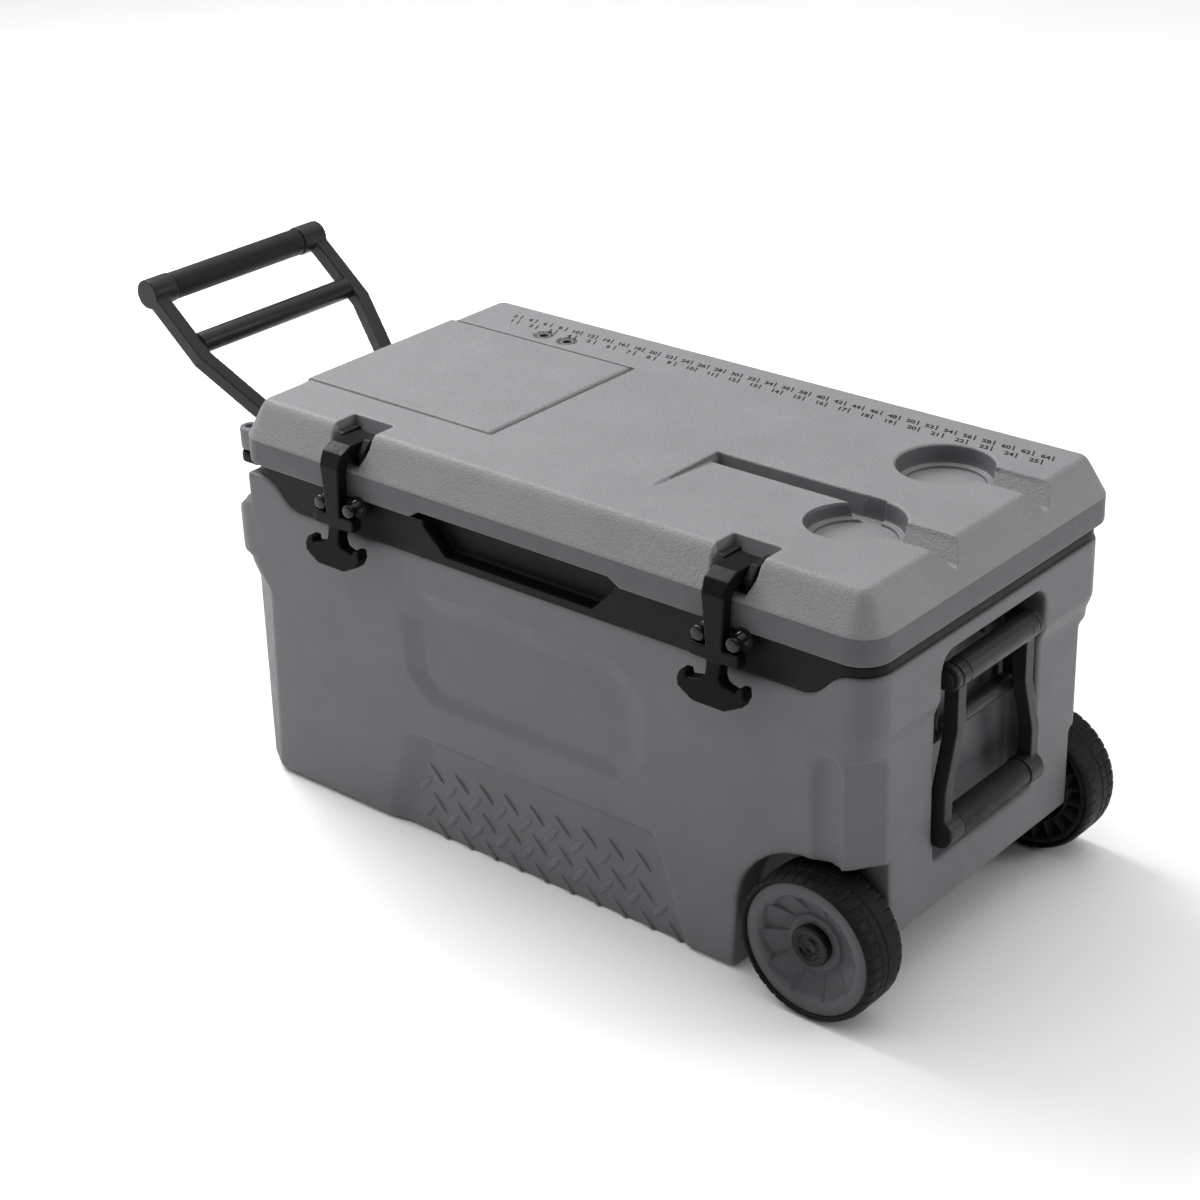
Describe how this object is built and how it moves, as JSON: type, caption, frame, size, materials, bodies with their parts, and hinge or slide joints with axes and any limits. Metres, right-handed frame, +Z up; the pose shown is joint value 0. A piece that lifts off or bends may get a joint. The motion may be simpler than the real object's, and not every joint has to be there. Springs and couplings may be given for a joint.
{
  "type": "wheeled cooler box",
  "caption": "Insulated cooler box on two wheels with latched hinged lid, access hatch, cup holders, folding tow handle and swing side handle.",
  "frame": {"origin": "on the ground under the middle of the lid", "axes": "+X along the box towards the wheels, -Y is the latch side, +Z up"},
  "size_m": [0.9552, 0.411, 0.4641],
  "materials": {
    "shell_grey": "fine pebble grain",
    "hatch_grey": "fine pebble grain",
    "liner_grey": "smooth",
    "foam": "closed-cell foam",
    "band_black": "satin",
    "latch_rubber": "satin",
    "hinge_black": "satin",
    "handle_black": "satin",
    "grip_black": "satin",
    "bolt_black": "satin black",
    "sleeve_black": "smooth",
    "cap_black": "satin",
    "cap_grey": "smooth",
    "peg_black": "glossy",
    "hub_grey": "satin",
    "seal_rubber": "matte",
    "steel": "brushed",
    "tube_alu": "plain",
    "tyre": "matte"
  },
  "bodies": {
    "tub": {"tub_shell": "shell_grey", "tub_liner": "liner_grey", "tub_foam": "foam", "axle_tube": "sleeve_black", "rim_band": "band_black", "latch_keepers": "peg_black", "drain_spout": "band_black", "drain_washer": "seal_rubber", "tub_hinge_left": "hinge_black", "tub_hinge_right": "hinge_black", "hinge_pin_left": "steel", "hinge_pin_right": "steel", "tub_hinge_screws": "steel", "side_bracket": "handle_black", "side_bracket_screws": "bolt_black", "side_pivot_pin": "bolt_black", "side_tie_bar": "handle_black", "tow_bracket": "handle_black", "tow_bracket_screws": "bolt_black", "tow_pivot_pin": "bolt_black", "axle_cap_front": "cap_black", "axle_cap_back": "cap_black", "axle_spacers": "sleeve_black", "axle": "steel"},
    "lid": {"lid_shell": "shell_grey", "lid_liner": "liner_grey", "lid_foam": "foam", "lid_gasket": "seal_rubber", "vent_plugs": "cap_grey", "hatch_pin": "steel", "hatch_bin": "liner_grey", "lid_hinge_left": "hinge_black", "lid_hinge_right": "hinge_black", "lid_hinge_screws": "steel", "latch_pin_left": "steel", "latch_pin_right": "steel", "latch_bracket_left": "hinge_black", "latch_bracket_right": "hinge_black"},
    "hatch": {"access_hatch": "hatch_grey"},
    "latch_left": {"latch_strap_left": "latch_rubber"},
    "latch_right": {"latch_strap_right": "latch_rubber"},
    "tow_handle": {"tow_arm_front": "handle_black", "tow_arm_back": "handle_black", "tow_pivot_barrel": "handle_black", "tow_grip_core": "tube_alu", "tow_grip": "grip_black", "tow_crossbar": "handle_black"},
    "side_handle": {"side_arm_front": "handle_black", "side_arm_back": "handle_black", "side_pivot_barrel": "handle_black", "side_grip_core": "tube_alu", "side_grip": "grip_black"},
    "wheel_front": {"tyre_front": "tyre", "hub_front": "hub_grey", "bushing_front": "sleeve_black"},
    "wheel_back": {"tyre_back": "tyre", "hub_back": "hub_grey", "bushing_back": "sleeve_black"},
    "drain_knob": {"drain_plug": "band_black"}
  },
  "joints": [
    {"name": "lid_hinge", "type": "hinge", "parent": "tub", "child": "lid", "pos_m": [0, 0.19, 0.338], "axis": [-1, 0, 0], "range_deg": [0, 100]},
    {"name": "hatch_hinge", "type": "hinge", "parent": "lid", "child": "hatch", "pos_m": [-0.349, 0, 0.4], "axis": [0, -1, 0], "range_deg": [0, 95]},
    {"name": "latch_left_hinge", "type": "hinge", "parent": "lid", "child": "latch_left", "pos_m": [-0.221, -0.157, 0.388], "axis": [-1, 0, 0], "range_deg": [0, 100]},
    {"name": "latch_right_hinge", "type": "hinge", "parent": "lid", "child": "latch_right", "pos_m": [0.221, -0.157, 0.388], "axis": [-1, 0, 0], "range_deg": [0, 100]},
    {"name": "tow_handle_hinge", "type": "hinge", "parent": "tub", "child": "tow_handle", "pos_m": [-0.364, 0, 0.282], "axis": [0, 1, 0], "range_deg": [-130, 25]},
    {"name": "side_handle_hinge", "type": "hinge", "parent": "tub", "child": "side_handle", "pos_m": [0.357, 0, 0.2875], "axis": [0, -1, 0], "range_deg": [0, 115]},
    {"name": "wheel_front_spin", "type": "hinge", "parent": "tub", "child": "wheel_front", "pos_m": [0.308, -0.1735, 0.069], "axis": [0, 1, 0], "continuous": true},
    {"name": "wheel_back_spin", "type": "hinge", "parent": "tub", "child": "wheel_back", "pos_m": [0.308, 0.1735, 0.069], "axis": [0, 1, 0], "continuous": true},
    {"name": "drain_turn", "type": "hinge", "parent": "tub", "child": "drain_knob", "pos_m": [-0.25, 0.185, 0.054], "axis": [0, 1, 0], "range_deg": [0, 90]}
  ]
}
